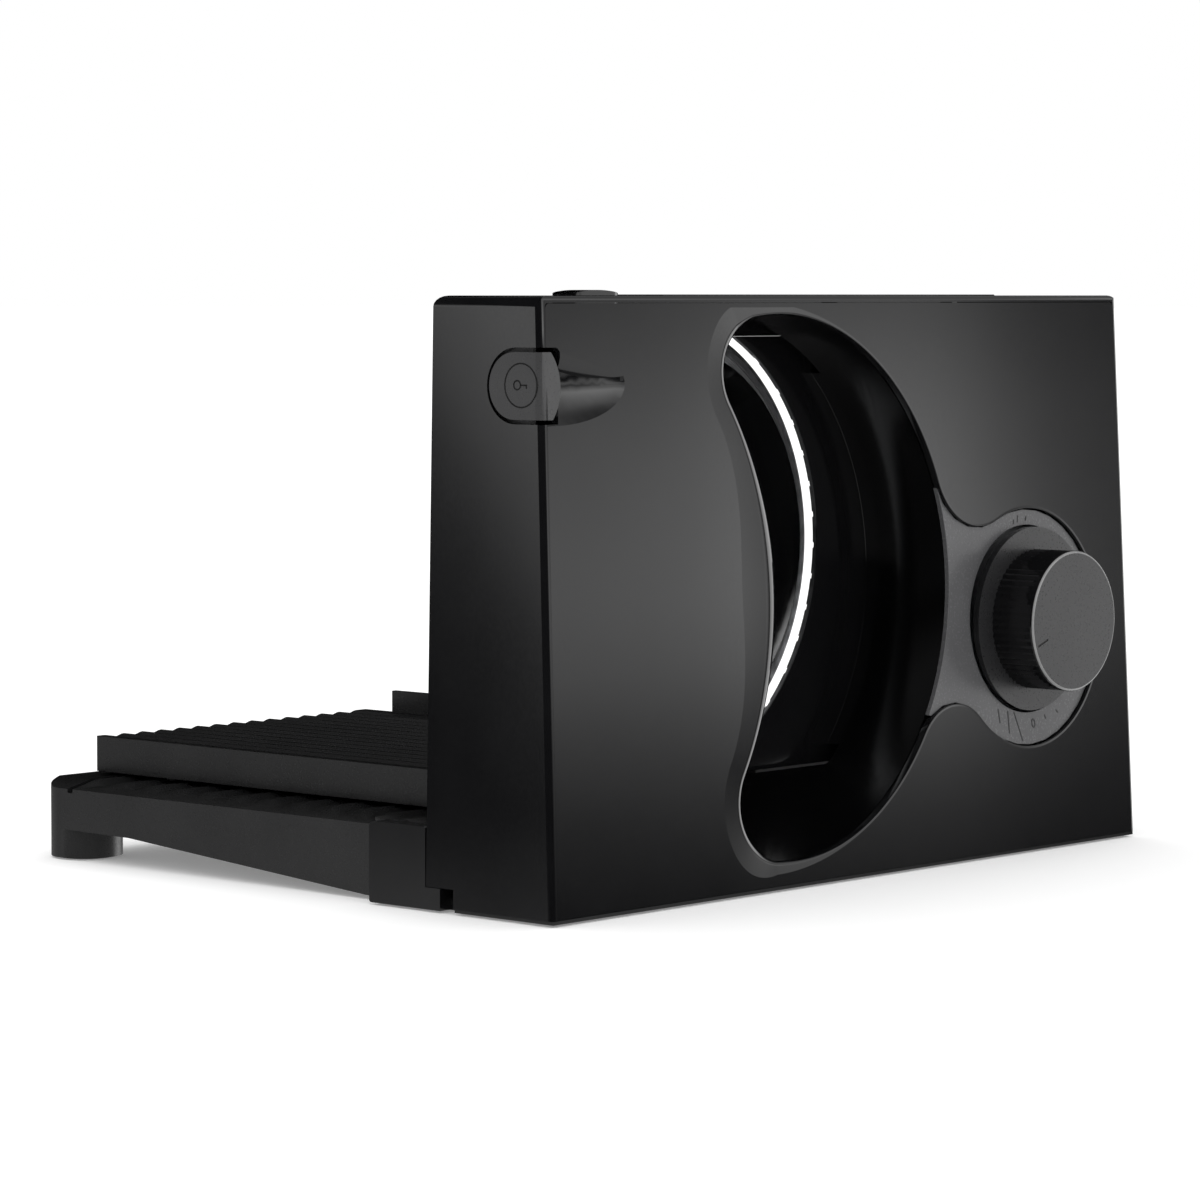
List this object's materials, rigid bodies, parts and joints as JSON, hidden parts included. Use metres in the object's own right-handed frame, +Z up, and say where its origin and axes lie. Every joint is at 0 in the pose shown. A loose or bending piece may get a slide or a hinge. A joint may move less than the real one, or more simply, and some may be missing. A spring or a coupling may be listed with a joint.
{
  "type": "electric food slicer",
  "caption": "Folding electric food slicer: leaning housing with a crescent slice outlet, waved disc blade, screw-driven thickness fence with dial, fold-up tray and sliding carriage.",
  "frame": {"origin": "middle of the bounding box, on the floor under the feet", "axes": "+X along the housing to the dial end, +Y from the front to the tray's far end, +Z up"},
  "size_m": [0.35, 0.3018, 0.222],
  "materials": {
    "gloss_black": "glossy",
    "chute_black": "satin",
    "rubber": "matte",
    "inner_plastic": "matte",
    "gear_plastic": "satin",
    "blade_steel": "polished",
    "steel": "satin",
    "motor_can": "satin",
    "bush_brass": "satin"
  },
  "bodies": {
    "housing": {"main_housing": "gloss_black", "front_cover": "gloss_black", "exit_chute": "chute_black", "dial_plate": "gloss_black", "base_plate": "gloss_black", "base_feet": "rubber", "base_screws": "steel", "gear_plate": "inner_plastic", "frame_screws": "steel", "motor": "motor_can", "idler_axle": "steel", "blade_axle": "steel", "slide_frame": "inner_plastic", "guide_pins": "steel", "micro_switch": "inner_plastic", "cord_gland": "rubber", "hinge_pins": "steel", "lock_spring": "steel", "power_spring": "steel"},
    "blade_rotor": {"blade": "blade_steel", "blade_gear": "gear_plastic", "axle_bush": "bush_brass", "blade_lock": "chute_black"},
    "idler": {"idler_gear": "gear_plastic"},
    "pinion": {"motor_pinion": "gear_plastic"},
    "fence": {"fence_plate": "gloss_black", "fence_nut": "gear_plastic"},
    "knob": {"thickness_knob": "gloss_black", "adjuster_screw": "steel"},
    "lock_button": {"lock_button": "gloss_black"},
    "power_button": {"power_button": "gloss_black"},
    "tray": {"tray": "gloss_black", "tray_foot_pads": "rubber"},
    "carriage": {"carriage": "gloss_black"}
  },
  "joints": [
    {"name": "blade_spin", "type": "hinge", "parent": "housing", "child": "blade_rotor", "pos_m": [-0.057, -0.0881, 0.126], "axis": [0, 1, 0], "continuous": true},
    {"name": "idler_spin", "type": "hinge", "parent": "housing", "child": "idler", "pos_m": [-0.09647, -0.0881, 0.11164], "axis": [0, 1, 0], "continuous": true},
    {"name": "pinion_spin", "type": "hinge", "parent": "housing", "child": "pinion", "pos_m": [-0.11057, -0.0931, 0.09222], "axis": [0, 1, 0], "continuous": true},
    {"name": "knob_turn", "type": "hinge", "parent": "housing", "child": "knob", "pos_m": [0.1075, -0.1331, 0.0924], "axis": [0, 1, 0], "range_deg": [-70, 230]},
    {"name": "fence_slide", "type": "slide", "parent": "housing", "child": "fence", "axis": [0, -1, 0], "range_m": [-0.0028, 0.0092]},
    {"name": "lock_press", "type": "slide", "parent": "housing", "child": "lock_button", "axis": [1, 0, 0], "range_m": [0, 0.0035], "stiffness_N_per_m": 300, "springref_m": -0.003, "deforming": ["lock_spring"]},
    {"name": "power_press", "type": "slide", "parent": "housing", "child": "power_button", "axis": [0, 0, -1], "range_m": [0, 0.003], "stiffness_N_per_m": 300, "springref_m": -0.003, "deforming": ["power_spring"]},
    {"name": "tray_fold", "type": "hinge", "parent": "housing", "child": "tray", "pos_m": [0, -0.0461, 0.0255], "axis": [1, 0, 0], "range_deg": [0, 90]},
    {"name": "carriage_slide", "type": "slide", "parent": "tray", "child": "carriage", "axis": [1, 0, 0], "range_m": [-0.018, 0.15]}
  ],
  "couplings": [
    {"joint": "idler_spin", "follows": "blade_spin", "ratio": -6},
    {"joint": "pinion_spin", "follows": "blade_spin", "ratio": 24},
    {"joint": "fence_slide", "follows": "knob_turn", "m_per_rad": 0.0022918}
  ]
}
